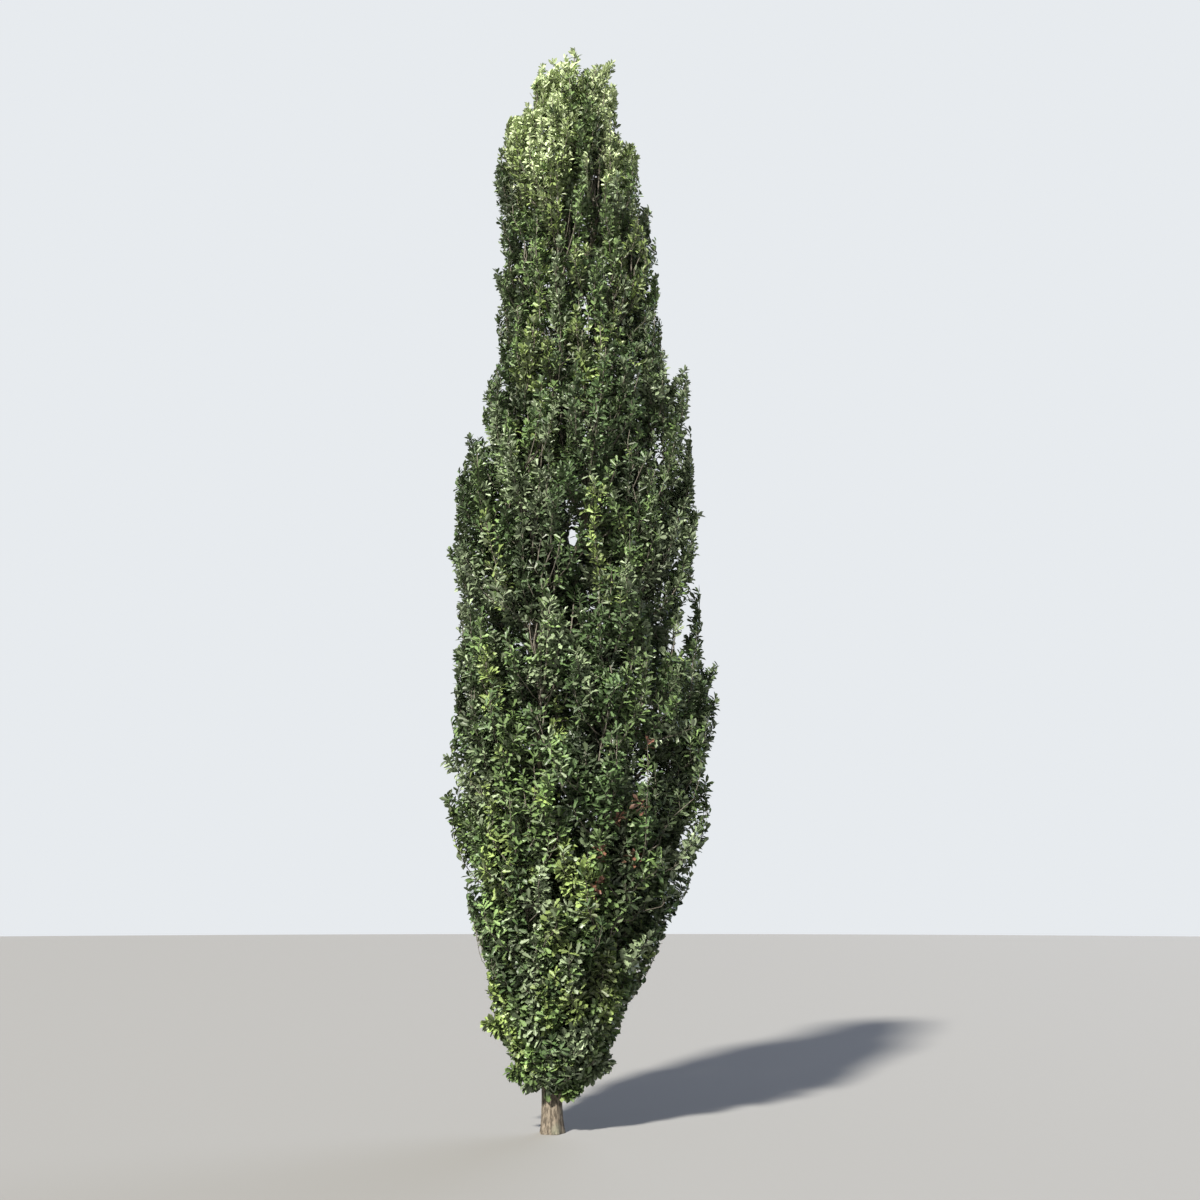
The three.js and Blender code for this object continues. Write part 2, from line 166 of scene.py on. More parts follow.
crown = {
    "height": 9.7,
    # height, reach to the left and to the right
    "outline": np.array([
        (0.26, 0.15, 0.20), (0.60, 0.37, 0.48), (1.00, 0.54, 0.68), (1.60, 0.69, 0.98),
        (2.20, 0.83, 1.25), (2.80, 0.91, 1.30), (3.40, 0.88, 1.41), (3.80, 0.90, 1.24),
        (4.50, 0.93, 1.25), (5.10, 0.93, 1.24), (5.60, 0.82, 1.20), (6.25, 0.62, 1.19),
        (6.45, 0.54, 0.93), (6.90, 0.59, 0.94), (7.43, 0.51, 0.91), (7.70, 0.62, 0.88),
        (8.30, 0.64, 0.73), (8.60, 0.56, 0.74), (8.83, 0.49, 0.54), (9.20, 0.29, 0.54),
        (9.48, 0.20, 0.48), (9.70, -0.07, 0.20),
    ]),
    # bearing of the first mass, girth, heights of the feet and of the tips
    "tiers": {
        "skirt": (20, 0.46, (0.30, 0.33, 0.31, 0.29, 0.27), (2.15, 2.05, 1.95, 2.08, 2.20)),
        "waist": (356, 0.41, (1.50, 1.38, 1.42, 1.35, 1.50), (3.95, 3.60, 3.45, 3.40, 3.65)),
        "belly": (24, 0.41, (2.85, 2.70, 2.75, 2.90, 2.95), (4.88, 4.33, 5.00, 5.35, 5.15)),
        "shoulder": (352, 0.41, (4.45, 4.30, 4.35, 4.40, 4.78), (6.48, 6.25, 6.45, 6.38, 6.80)),
        "neck": (28, 0.44, (6.05, 5.75, 5.85, 5.90, 6.25), (8.65, 7.90, 7.42, 7.95, 8.25)),
        "top": (60, 0.50, (7.50, 7.05, 7.60), (9.42, 8.98, 9.33)),
    },
    "leader": (8.50, 9.69, 0.26),  # foot, tip and half-width
    "bellyAt": 0.42,
    "footWidth": 0.65,
    "tipWidth": 0.55,
    "mostGirth": 0.46,
    "footInset": 0.16,
    "leastOffset": 0.35,
    "stem": (0.07, 0.93),  # shares of a mass's height
    "spread": 85,  # degrees that a mass's twigs turn to either side
    # the places from here on are x, height, half-width and half-height on the trunk's plane, as
    # the lens sees them; first the gaps that go right through
    "gaps": [
        (0.13, 4.77, 0.050, 0.20), (0.20, 5.07, 0.030, 0.09), (0.90, 5.50, 0.040, 0.22),
        (0.975, 3.86, 0.045, 0.24),
    ],
    "gapHeart": 0.5,  # the part of a gap that even the tip of a leaf keeps out of
    # where the front opens on an upright stem inside
    "clefts": [
        (0.085, 7.70, 0.028, 0.22), (-0.315, 7.47, 0.024, 0.12), (0.66, 7.36, 0.024, 0.12),
        (0.33, 8.22, 0.030, 0.18), (0.03, 5.76, 0.030, 0.18), (-0.15, 5.52, 0.026, 0.14),
        (-0.04, 4.46, 0.030, 0.20), (-0.19, 3.92, 0.030, 0.24), (0.16, 4.02, 0.026, 0.16),
        (-0.02, 2.28, 0.030, 0.28), (-0.10, 3.14, 0.024, 0.18),
    ],
    "cleftFrom": 0.25,  # how far in front of the middle a cleft starts, a share of the radius
    # dark hollows in the front
    "hollows": [
        (0.95, 2.52, 0.14, 0.46), (0.85, 4.30, 0.13, 0.36), (0.33, 8.30, 0.07, 0.42),
        (0.38, 8.68, 0.06, 0.25), (0.62, 5.24, 0.14, 0.18), (-0.20, 4.67, 0.16, 0.27),
        (-0.27, 4.13, 0.14, 0.20), (0.54, 1.98, 0.11, 0.30), (0.26, 2.99, 0.12, 0.24),
        (-0.35, 6.02, 0.09, 0.22), (0.75, 1.67, 0.09, 0.15), (0.48, 3.71, 0.12, 0.10),
        (0.36, 1.13, 0.09, 0.20), (-0.17, 3.42, 0.14, 0.13), (-0.46, 8.06, 0.07, 0.20),
        (0.99, 5.11, 0.07, 0.15), (0.69, 6.75, 0.08, 0.16), (0.67, 7.38, 0.09, 0.13),
        (-0.38, 7.11, 0.10, 0.12), (-0.76, 3.32, 0.05, 0.15), (0.14, 6.58, 0.09, 0.12),
        (0.05, 6.29, 0.10, 0.08), (0.49, 7.07, 0.06, 0.14), (-0.40, 7.56, 0.05, 0.16),
        (0.60, 5.71, 0.07, 0.11), (-0.26, 2.34, 0.05, 0.12), (0.10, 2.48, 0.04, 0.22),
    ],
    "hollowDepth": 0.26,  # a share of the crown's radius
    # pale plumes that stand out in the front
    "palePlumes": [
        (-0.54, 3.14, 0.13, 0.27), (-0.49, 1.63, 0.11, 0.25), (0.02, 3.09, 0.09, 0.22),
        (-0.62, 3.71, 0.12, 0.20), (0.06, 3.84, 0.20, 0.22), (0.36, 5.00, 0.15, 0.26),
        (0.20, 1.79, 0.11, 0.11), (-0.06, 2.54, 0.06, 0.22), (-0.07, 1.99, 0.08, 0.14),
        (0.28, 2.10, 0.13, 0.12), (-0.34, 0.77, 0.06, 0.17), (0.47, 2.46, 0.11, 0.08),
        (-0.71, 4.18, 0.10, 0.09), (-0.03, 0.81, 0.08, 0.09), (0.78, 3.06, 0.06, 0.14),
        (-0.60, 2.03, 0.11, 0.11), (0.45, 0.96, 0.07, 0.13), (-0.05, 5.98, 0.09, 0.10),
        (0.29, 6.84, 0.06, 0.12), (-0.15, 7.50, 0.12, 0.16), (0.58, 8.38, 0.10, 0.16),
    ],
    # where the outline steps in
    "notches": [
        (0.74, 8.87, 0.26, 0.22), (-0.44, 9.11, 0.22, 0.17), (-0.66, 7.43, 0.15, 0.10),
        (-0.66, 6.52, 0.13, 0.16), (-0.80, 5.85, 0.13, 0.15), (-0.64, 1.15, 0.11, 0.20),
        (-0.46, 0.46, 0.08, 0.10),
    ],
    # valleys between the plumes on all sides, opened by a noise
    "valleys": {
        "wide": 0.30,
        "tall": 0.85,
        "level": -0.08,
        "soft": 0.14,
        "depth": 0.26,
        "byHeight": ((0.6, 1.6, 6, 9), (0.3, 1, 0.7, 0.2)),
        "frontFrom": 0.3,  # shallower in front of this share of the radius
        "inFront": 0.6,
    },
    "closing": (2.2, 0.66, 0.12),  # openings close towards the left and right: slope, start and least
}
trunk = {
    "top": 8.9,
    "radius": 0.078,
    "tipRadius": 0.009,
    "taper": 0.85,
    "flare": (0.019, 0.11),  # what the root flare adds, and how high it reaches
    "lobes": (5, 0.009, 0.6),  # how many, how deep, and how far they are turned
    "lean": 0.13,
    "sweep": (0.06, 0.035),
    "sides": 64,
    "rings": 120,
    "crowding": 3.0,  # rings crowd towards the foot, the only bare stretch
    "relief": (0.0042, 1),  # depth, and size of the pattern
}


def mix(low, high, t):
    return low + (high - low) * t


def unit(v):
    return v / np.maximum(np.linalg.norm(v, axis=-1, keepdims=True), 1e-9)


def atHeights(points, steps):  # a value that changes with height: the heights and the values there
    return np.interp(points[..., 2], *steps)


def crownAt(z):  # the crown's middle and radius at a height
    heights, left, right = crown["outline"].T
    left = np.interp(z, heights, left)
    right = np.interp(z, heights, right)
    return (right - left) / 2, (right + left) / 2


def trunkAt(z):
    s = np.asarray(z) / crown["height"]
    x = trunk["lean"] * s * s - trunk["sweep"][0] * np.sin(np.pi * s)
    return np.stack([x, trunk["sweep"][1] * np.sin(2 * np.pi * s), s * crown["height"]], -1)


def trunkRadiusAt(z):
    up = np.maximum(0, 1 - np.asarray(z) / trunk["top"])
    return mix(trunk["tipRadius"], trunk["radius"], up ** trunk["taper"])


masses = [
    (f"{tier}_{i + 1}", firstBearing + 360 * i / len(feet), tierGirth, low, high)
    for tier, (firstBearing, tierGirth, feet, tips) in crown["tiers"].items()
    for i, (low, high) in enumerate(zip(feet, tips))
]
leader = len(masses)
names, *rest = zip(*masses, ("leader", 0, 0, *crown["leader"][:2]))
bearing, girth, foot, tip = map(np.array, rest)
widest = girth * crownAt(mix(foot, tip, crown["bellyAt"]))[1]
widest[leader] = crown["leader"][2]
spread = np.where(np.arange(len(names)) == leader, 180, crown["spread"])


def massAt(m, z):  # where mass m's axis is at a height, and its half-width
    t = (z - foot[m]) / (tip[m] - foot[m])
    belly = crown["bellyAt"]
    below = mix(crown["footWidth"], 1, np.sin(np.pi / 2 * np.clip(t / belly, 0, 1)))
    above = mix(crown["tipWidth"], 1, np.cos(np.pi / 2 * np.clip((t - belly) / (1 - belly), 0, 1)))
    half = widest[m] * np.where(t < belly, below, above)
    middle, radius = crownAt(z)
    half = np.where(m == leader, half, np.minimum(half, crown["mostGirth"] * radius))
    inset = crown["footInset"] * np.maximum(0, 1 - t / belly) ** 2
    out = np.maximum(radius * (1 - inset) - half, crown["leastOffset"] * half)
    turn = np.radians(bearing[m])
    stem = trunkAt(z)
    x = np.where(m == leader, stem[..., 0], middle + np.cos(turn) * out)
    y = np.where(m == leader, stem[..., 1], np.sin(turn) * out)
    return t, np.stack([x, y, np.broadcast_to(z, x.shape)], -1), half


def axisAt(m, t):
    return massAt(m, mix(foot[m], tip[m], t))[1]


def shares(points):  # how far out points lie in each mass: 1 at its edge
    m = np.arange(len(names))[:, None]
    t, axis, half = massAt(m, points[None, :, 2])
    out = np.hypot(points[None, :, 0] - axis[..., 0], points[None, :, 1] - axis[..., 1]) / half
    return np.where((t > 0) & (t < 1), out, np.inf)


def crownShare(points):
    middle, radius = crownAt(points[..., 2])
    return np.hypot(points[..., 0] - middle, points[..., 1]) / radius


def outwards(points):  # level, away from the crown's middle
    middle = crownAt(points[..., 2])[0]
    return unit(np.stack([points[..., 0] - middle, points[..., 1], 0 * middle], -1))


def seen(points):  # x and height on the trunk's plane, as the lens sees them
    x, y, z = view["place"]
    share = y / (y - points[..., 1])
    return x + (points[..., 0] - x) * share, z + (points[..., 2] - z) * share


def atDepth(x, z, depth):  # the points at a depth that are seen at x and z
    eyeX, eyeY, eyeZ = view["place"]
    share = (eyeY - depth) / eyeY
    return np.stack([eyeX + (x - eyeX) * share, depth, eyeZ + (z - eyeZ) * share], -1)


def within(points, kind):  # how far out in the nearest place of a kind: 1 at its edge
    x, z = seen(points)
    return np.min([np.hypot((x - a) / half, (z - b) / tall) for a, b, half, tall in crown[kind]], axis=0)


def inGap(points, part=1):  # or in the middle part of one
    return within(points, "gaps") < part


def inFront(points, kind):  # 1 in the middle of one of the front's places, 0 outside them
    far = np.where(points[..., 1] < 0, within(points, kind), 2)
    return np.sqrt(np.clip(1.2 - far ** 2, 0, 1))


def noiseAt(points, *size):  # smooth swellings of a size, from about -0.5 to 0.5
    places = (points / size).reshape(-1, 3).tolist()
    return np.array([noise.noise(place) for place in places]).reshape(points.shape[:-1])


def openDepth(points):  # how deep the crown is open there, in shares of its radius
    valleys = crown["valleys"]
    slope, start, least = crown["closing"]
    y, radius = points[..., 1], crownAt(points[..., 2])[1]
    rim = outwards(points) * radius[..., None] + points * (0, 0, 1)
    swell = noiseAt(rim, valleys["wide"], valleys["wide"], valleys["tall"])
    depth = valleys["depth"] * np.clip((valleys["level"] - swell) / valleys["soft"], 0, 1)
    depth *= atHeights(points, valleys["byHeight"])
    depth *= np.where(y < -valleys["frontFrom"] * radius, valleys["inFront"], 1)
    depth *= 1 - inFront(points, "palePlumes")
    depth = np.maximum(depth, crown["hollowDepth"] * inFront(points, "hollows"))
    return depth * np.clip(np.abs(y) / radius * slope - start, least, 1)


def isOpen(points):  # in a valley, a hollow, a cleft, a notch or the heart of a gap
    front = points[..., 1] < -crown["cleftFrom"] * crownAt(points[..., 2])[1]
    cleft = front & (within(points, "clefts") < 1)
    notch = within(points, "notches") < 1
    return inGap(points, crown["gapHeart"]) | cleft | notch | (crownShare(points) > 1 - openDepth(points))


def inSpace(m, points, reach):  # further into mass m than into any other
    out = shares(points)
    own = out[m].copy()
    out[m] = np.inf
    return (out.min(0) > own) & (crownShare(points) <= reach) & ~inGap(points)


# a small random source with a seed, the same as the source's
def seeded(seed):
    state = seed

    def draw():
        nonlocal state
        state = (state + 0x6d2b79f5) & 0xffffffff
        n = (state ^ (state >> 15)) * (state | 1) & 0xffffffff
        n ^= (n + (n ^ (n >> 7)) * (n | 61)) & 0xffffffff
        return (n ^ (n >> 14)) / 4294967296
    return draw


# Shapes as arrays, to be bent and copied

def tubeShape(sides, steps):  # a closed tube of radius 1, a ring at each whole height
    bm = bmesh.new()
    bmesh.ops.create_circle(bm, cap_ends=True, radius=1, segments=sides)
    rim = bm.edges[:]
    for _ in range(steps):
        grown = bmesh.ops.extrude_edge_only(bm, edges=rim)["geom"]
        ring = [part for part in grown if isinstance(part, bmesh.types.BMVert)]
        bmesh.ops.translate(bm, verts=ring, vec=(0, 0, 1))
        edges = [part for part in grown if isinstance(part, bmesh.types.BMEdge)]
        rim = [edge for edge in edges if set(edge.verts) <= set(ring)]
    bmesh.ops.contextual_create(bm, geom=rim)
    bmesh.ops.recalc_face_normals(bm, faces=bm.faces)
    return asArrays(bm)


def asArrays(bm):
    bm.verts.index_update()
    shape = {
        "verts": np.array([v.co[:] for v in bm.verts]),
        "corners": np.array([v.index for f in bm.faces for v in f.verts]),
        "counts": np.array([len(f.verts) for f in bm.faces]),
    }
    bm.free()
    return shape


def bend(shape, paths, radii, relief=None):  # tubes along paths (n, rings, 3) with radii (n, rings)
    along = unit(np.gradient(paths, axis=1))
    whole = unit(paths[:, -1] - paths[:, 0])
    steep = np.abs(whole[:, 2:]) > 0.7
    ref = np.where(steep, (1.0, 0.0, 0.0), (0.0, 0.0, 1.0))[:, None]
    side = unit(ref - (ref * along).sum(-1, keepdims=True) * along)
    back = np.cross(along, side)
    level = np.rint(shape["verts"][:, 2]).astype(int)
    angle = np.arctan2(shape["verts"][:, 1], shape["verts"][:, 0])
    radius = radii[:, level]
    if relief is not None:
        radius = radius + relief(paths[:, level], angle)
    around = np.cos(angle)[None, :, None] * side[:, level] + np.sin(angle)[None, :, None] * back[:, level]
    return paths[:, level] + around * radius[..., None]


def joinedPiece(name, nodes, shape, points, material, uv=None, tone=None):
    copies, size = points.shape[:2]
    mesh = bpy.data.meshes.new(name)
    mesh.vertices.add(copies * size)
    mesh.vertices.foreach_set("co", points.astype(np.float32).ravel())
    corners = (shape["corners"][None] + size * np.arange(copies)[:, None]).ravel()
    mesh.loops.add(len(corners))
    mesh.loops.foreach_set("vertex_index", corners.astype(np.int32))
    counts = np.tile(shape["counts"], copies)
    starts = np.concatenate([[0], np.cumsum(counts)[:-1]])
    mesh.polygons.add(len(counts))
    mesh.polygons.foreach_set("loop_start", starts.astype(np.int32))
    mesh.update(calc_edges=True)
    mesh.polygons.foreach_set("use_smooth", np.ones(len(counts), bool))
    if uv is not None:
        layer = mesh.uv_layers.new(name="blade")
        layer.data.foreach_set("uv", np.tile(uv[shape["corners"]], (copies, 1)).astype(np.float32).ravel())
    if tone is not None:
        layer = mesh.attributes.new("tone", "FLOAT", "POINT")
        layer.data.foreach_set("value", np.repeat(tone, size).astype(np.float32))
    mesh.validate()
    mesh.materials.append(material)
    piece = addObject(name, mesh)
    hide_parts(*nodes)
    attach(piece, "root")


# Materials

def newGroup(name, **inputs):
    group = bpy.data.node_groups.new(name, "ShaderNodeTree")
    outputs = {"Color": "Color", "Roughness": "Float", "Normal": "Vector"}
    for way, sockets in (("INPUT", inputs), ("OUTPUT", outputs)):
        for label, kind in sockets.items():
            group.interface.new_socket(label, in_out=way, socket_type="NodeSocket" + kind)
    return group, group.nodes.new("NodeGroupInput"), group.nodes.new("NodeGroupOutput")


# bark: long upright fissures between plates, with a fine grain over both
barkGrain, ins, outs = newGroup("barkGrain", Ridge="Color", Fissure="Color", Size="Float", Depth="Float")
coords = addNode(barkGrain, "TexCoord")
stretch = addNode(barkGrain, "Mapping", Scale=(1, 1, 0.30))
plates = addNode(barkGrain, "TexNoise", Scale=64, Detail=5, Roughness=0.66)
grain = addNode(barkGrain, "TexNoise", Scale=260, Detail=3)
patches = addNode(barkGrain, "TexNoise", Scale=7, Detail=2)
scaled = addNode(barkGrain, "VectorMath", operation="SCALE")
groove = spreadOver(barkGrain, 0.40, 0.56)
blend = addNode(barkGrain, "Mix", data_type="RGBA")
lichen = addNode(barkGrain, "Mix", data_type="RGBA")
lichen.inputs[7].default_value = (0.27, 0.30, 0.22, 1)
lichenMask = spreadOver(barkGrain, 0.54, 0.72, 0, 0.55)
surface = mathNode(barkGrain, "MULTIPLY_ADD", 0.25)  # the grain's share of the height
rough = spreadOver(barkGrain, 0, 1, 0.95, 0.78)
bump = addNode(barkGrain, "Bump", Strength=0.9)
wire(
    barkGrain, (coords, "Object", scaled, 0), (ins, "Size", scaled, "Scale"),
    (scaled, 0, stretch, "Vector"), (stretch, 0, plates, "Vector"), (stretch, 0, grain, "Vector"),
    (scaled, 0, patches, "Vector"), (plates, "Fac", groove, "Value"), (groove, 0, blend, 0),
    (ins, "Fissure", blend, 6), (ins, "Ridge", blend, 7), (patches, "Fac", lichenMask, "Value"),
    (lichenMask, 0, lichen, 0), (blend, 2, lichen, 6), (lichen, 2, outs, "Color"),
    (grain, "Fac", surface, 0), (groove, 0, surface, 2), (surface, 0, bump, "Height"),
    (ins, "Depth", bump, "Distance"), (groove, 0, rough, "Value"), (rough, 0, outs, "Roughness"),
    (bump, 0, outs, "Normal"))


def barkMaterial(name, ridge, fissure, size, depth):
    material, tree, shader = newMaterial(name)
    shader.inputs["Specular IOR Level"].default_value = 0.25
    grain = addNode(
        tree, "Group", node_tree=barkGrain, Ridge=(*ridge, 1), Fissure=(*fissure, 1), Size=size, Depth=depth)
    wire(
        tree, (grain, "Color", shader, "Base Color"), (grain, "Roughness", shader, "Roughness"),
        (grain, "Normal", shader, "Normal"))
    return material


oldBark = barkMaterial("oldBark", (0.265, 0.222, 0.170), (0.10, 0.082, 0.063), 1.0, 0.004)
youngBark = barkMaterial("youngBark", (0.26, 0.235, 0.195), (0.11, 0.093, 0.072), 2.4, 0.0012)

# a leaf's blade: pale midrib and side veins on its UV map, a tone of its own and faint patches; the tone is
# random tone with painted light and painted shade in it
leafBlade, ins, outs = newGroup("leafBlade", Blade="Color", Vein="Color")
uvMap = addNode(leafBlade, "UVMap", uv_map="blade")
split = addNode(leafBlade, "SeparateXYZ")
centre = mathNode(leafBlade, "SUBTRACT", 0.5)
across = mathNode(leafBlade, "ABSOLUTE")
midrib = spreadOver(leafBlade, 0.012, 0.03, 1, 0)
slope = mathNode(leafBlade, "MULTIPLY_ADD", -0.95)
wave = mathNode(leafBlade, "MULTIPLY", 44)  # seven pairs of side veins
crest = mathNode(leafBlade, "SINE")
sideVein = spreadOver(leafBlade, 0.88, 1.0, 0, 0.6)
veins = mathNode(leafBlade, "MAXIMUM")
toneIn = addNode(leafBlade, "Attribute", attribute_name="tone")
coords = addNode(leafBlade, "TexCoord")
patch = addNode(leafBlade, "TexNoise", Scale=3.4, Detail=2)
mottle = addNode(leafBlade, "TexNoise", Scale=55, Detail=2)
toneRange = spreadOver(leafBlade, 0, 1, 0.30, 1.44)
patchRange = spreadOver(leafBlade, 0.3, 0.7, 0.58, 1.38)
mottleRange = spreadOver(leafBlade, 0.3, 0.7, 0.88, 1.12)
toneValue = mathNode(leafBlade, "MULTIPLY")
toneAll = mathNode(leafBlade, "MULTIPLY")
shade = addNode(leafBlade, "VectorMath", operation="SCALE")
veined = addNode(leafBlade, "Mix", data_type="RGBA")
gloss = spreadOver(leafBlade, 0.3, 0.7, 0.30, 0.46)
relief = addNode(leafBlade, "Bump", Strength=0.6, Distance=0.0012)
wire(
    leafBlade, (uvMap, 0, split, 0), (split, "X", centre, 0), (centre, 0, across, 0),
    (across, 0, midrib, "Value"), (across, 0, slope, 0), (split, "Y", slope, 2), (slope, 0, wave, 0),
    (wave, 0, crest, 0), (crest, 0, sideVein, "Value"), (midrib, 0, veins, 0), (sideVein, 0, veins, 1),
    (coords, "Object", patch, "Vector"), (coords, "Object", mottle, "Vector"),
    (toneIn, "Fac", toneRange, "Value"), (patch, "Fac", patchRange, "Value"),
    (mottle, "Fac", mottleRange, "Value"), (toneRange, 0, toneValue, 0), (patchRange, 0, toneValue, 1),
    (toneValue, 0, toneAll, 0), (mottleRange, 0, toneAll, 1), (ins, "Blade", shade, 0),
    (toneAll, 0, shade, "Scale"), (veins, 0, veined, 0), (shade, 0, veined, 6), (ins, "Vein", veined, 7),
    (veined, 2, outs, "Color"), (mottle, "Fac", gloss, "Value"), (gloss, 0, outs, "Roughness"),
    (veins, 0, relief, "Height"), (relief, 0, outs, "Normal"))
vein = (0.32, 0.22)  # what pales a vein, and how far


def leafMaterial(name, blade, under):
    material, tree, shader = newMaterial(name)
    pale = (*[mix(c, *vein) for c in blade], 1)
    face = addNode(tree, "Group", node_tree=leafBlade, Blade=(*blade, 1), Vein=pale)
    # the under side's colour is partly painted shade: kept about as dark as the upper side, where an oak's
    # under side is paler
    behind = addNode(tree, "NewGeometry")
    turned = addNode(tree, "Mix", data_type="RGBA")
    turned.inputs[7].default_value = (*under, 1)
    wire(
        tree, (behind, "Backfacing", turned, 0), (face, "Color", turned, 6),
        (turned, 2, shader, "Base Color"), (face, "Roughness", shader, "Roughness"),
        (face, "Normal", shader, "Normal"))
    return material


print("materials ready")

# Trunk

barkPattern = {
    "radius": 0.078,  # of the round that it is wrapped on
    "plates": (36, 0.13),  # how fine, and how drawn out upwards
    "grit": (120, 0.4),
    "fissure": 0.2,
    "level": 0.75,
    "gritShare": 0.25,
}


def barkRelief(depth, size):  # long fissures that wander up between rounded plates
    plates, platesUp = barkPattern["plates"]
    grit, gritUp = barkPattern["grit"]

    def move(places, angle):
        out = np.zeros(places.shape[:2])
        for n, line in enumerate(places):
            for i, (x, y, z) in enumerate(line):
                c, s = math.cos(angle[i]) * barkPattern["radius"], math.sin(angle[i]) * barkPattern["radius"]
                rib = noise.noise(Vector((c + x, s + y, z * platesUp)) * (plates / size))
                fine = noise.noise(Vector((c, s, z * gritUp)) * (grit / size))
                rib = min(1, abs(rib) / barkPattern["fissure"])
                out[n, i] = depth * (rib - barkPattern["level"] + barkPattern["gritShare"] * fine)
        return out
    return move


tube = tubeShape(trunk["sides"], trunk["rings"])
climb = trunk["top"] * np.linspace(0, 1, trunk["rings"] + 1) ** trunk["crowding"]
trunkLine = trunkAt(climb)[None]
bark = barkRelief(*trunk["relief"])
level = np.rint(tube["verts"][:, 2]).astype(int)


def trunkRelief(places, angle):
    many, deep, turned = trunk["lobes"]
    low = np.exp(-climb[level] / trunk["flare"][1])
    lobes = deep * np.cos(-many * angle + turned)
    ease = np.clip(trunkRadiusAt(climb[level]) / trunk["radius"], 0, 1)
    return low * (trunk["flare"][0] + lobes) + bark(places, angle) * ease


points = bend(tube, trunkLine, trunkRadiusAt(climb)[None], trunkRelief)
points[..., 2] = np.maximum(points[..., 2], 0)
joinedPiece("trunkBark", ["trunk"], tube, points, oldBark)
print("trunk ready")

# Boughs

bough = {
    "rise": 0.62,
    "lowestRoot": 0.335,
    "rootShare": 0.5,
    "taper": 0.7,
    "slope": 0.75,
    "bends": (0.38, 0.35),
    "stemRadius": 0.013,
    "sides": 10,
    "rings": 30,
    "bareRings": 9,  # from the trunk
    "relief": (0.0016, 0.6),
}
limbs = np.arange(leader)  # every mass but the leader has a bough
start = axisAt(limbs, crown["stem"][0])
ahead = unit(axisAt(limbs, crown["stem"][0] + 1e-3) - start)
rootHeight = np.maximum(bough["lowestRoot"], foot[limbs] - bough["rise"])
root = trunkAt(rootHeight)
reach = np.linalg.norm(start - root, axis=1, keepdims=True)
leave = unit(unit((start - root) * (1, 1, 0)) * bough["slope"] + (0, 0, 1))
handles = [root, root + leave * reach * bough["bends"][0], start - ahead * reach * bough["bends"][1], start]
t = np.linspace(0, 1, bough["rings"] + 1)[None, :, None]
weights = [(1 - t) ** 3, 3 * t * (1 - t) ** 2, 3 * t * t * (1 - t), t ** 3]
boughLines = sum(w * h[:, None] for w, h in zip(weights, handles))
boughRadii = mix(
    trunkRadiusAt(rootHeight)[:, None] * bough["rootShare"], bough["stemRadius"], t[..., 0] ** bough["taper"])
tube = tubeShape(bough["sides"], bough["rings"])
points = bend(tube, boughLines, boughRadii, barkRelief(*bough["relief"]))
joinedPiece("boughBark", [f"bough_{names[m]}" for m in limbs], tube, points, oldBark)
print("boughs ready")

# Stems and twigs

stem = {"radius": (0.013, 0.004), "sides": 7, "rings": 24}
twig = {
    "radius": (0.0075, 0.0026),
    "sides": 3,
    "rings": 6,
    "wander": 0.012,
    "early": 1.8,  # it goes out first
    "late": 1.15,  # and up last
    "underOpening": (0.03, 0.92),  # from which depth, and the share of the radius less that depth
}
goldenTurn = 2.4  # radians from one to the next
stemShare = np.full(len(names), crown["stem"][0])
stemShare[leader] = (trunk["top"] - foot[leader]) / (tip[leader] - foot[leader])
along = np.linspace(0, 1, stem["rings"] + 1)
stemLines = axisAt(np.arange(len(names))[:, None], mix(stemShare[:, None], crown["stem"][1], along[None]))
stemRadii = np.tile(mix(*stem["radius"], along), (len(names), 1))
stemRadii[leader] *= trunk["tipRadius"] / stem["radius"][0]


def pulledIn(points, reach):  # drawn in to a share of the crown's radius
    middle, _ = crownAt(points[:, 2])
    pull = np.minimum(1, reach / np.maximum(crownShare(points), 1e-6))
    return np.stack([middle + (points[:, 0] - middle) * pull, points[:, 1] * pull, points[:, 2]], -1)


def climbing(roots, tops, early=twig["early"]):
    t = np.linspace(0, 1, twig["rings"] + 1)[None, :, None]
    ease = np.concatenate([np.tile(1 - (1 - t) ** early, (1, 1, 2)), t ** twig["late"]], -1)
    wander = rng.normal(0, twig["wander"], (len(roots), 3, 1, 3))
    bends = sum(wander[:, i] * np.sin((i + 1) * np.pi * t) / (i + 1) for i in range(3))
    lines = roots[:, None] + (tops - roots)[:, None] * ease + bends
    most = np.maximum(crownShare(lines[:, -1:]), crownShare(lines[:, :1])) + 0 * lines[..., 0]
    opened = openDepth(lines)
    least, share = twig["underOpening"]
    most = np.where((t[..., 0] < 1) & (opened > least), np.minimum(most, share - opened), most)
    return pulledIn(lines.reshape(-1, 3), most.ravel()).reshape(lines.shape)


# plumes climb from each mass's stem to the crown's outside and rise along it
plume = {
    "perSquareMetre": (6.2, 9.8),  # of the crown's outside that its mass holds, low and high
    "samples": 20000,  # that measure this outside
    "least": 12,  # in one mass
    "tries": 500,
    "between": (0.08, 0.94),  # shares of the mass's height
    "golden": 0.618,
    "silver": 0.755,
    "step": 0.01,
    "steps": 160,
    "meets": 0.93,  # the share of the crown's radius at which it turns up
    "rise": 0.12,  # share of the mass's height from root to end
    "rootInset": 0.02,
    "inside": 0.99,  # of an opening's floor
    "unevenness": 0.36,  # how much less far some reach
    "evenSides": (1.4, 0.18),  # less so at the left and right: slope and least
    "climb": (0.30, 0.85),  # how far the tip goes on up
    "climbByHeight": ((0.3, 1.6), (0.15, 1)),
    "climbRounds": 6,
    "shorter": 0.6,
    "highest": 9.10,
}
z = rng.uniform(foot.min(), tip.max(), plume["samples"])
angle = rng.uniform(0, 2 * np.pi, len(z))
middle, radius = crownAt(z)
outside = np.stack([middle + np.cos(angle) * radius, np.sin(angle) * radius, z], -1)
holder = shares(outside).argmin(0)
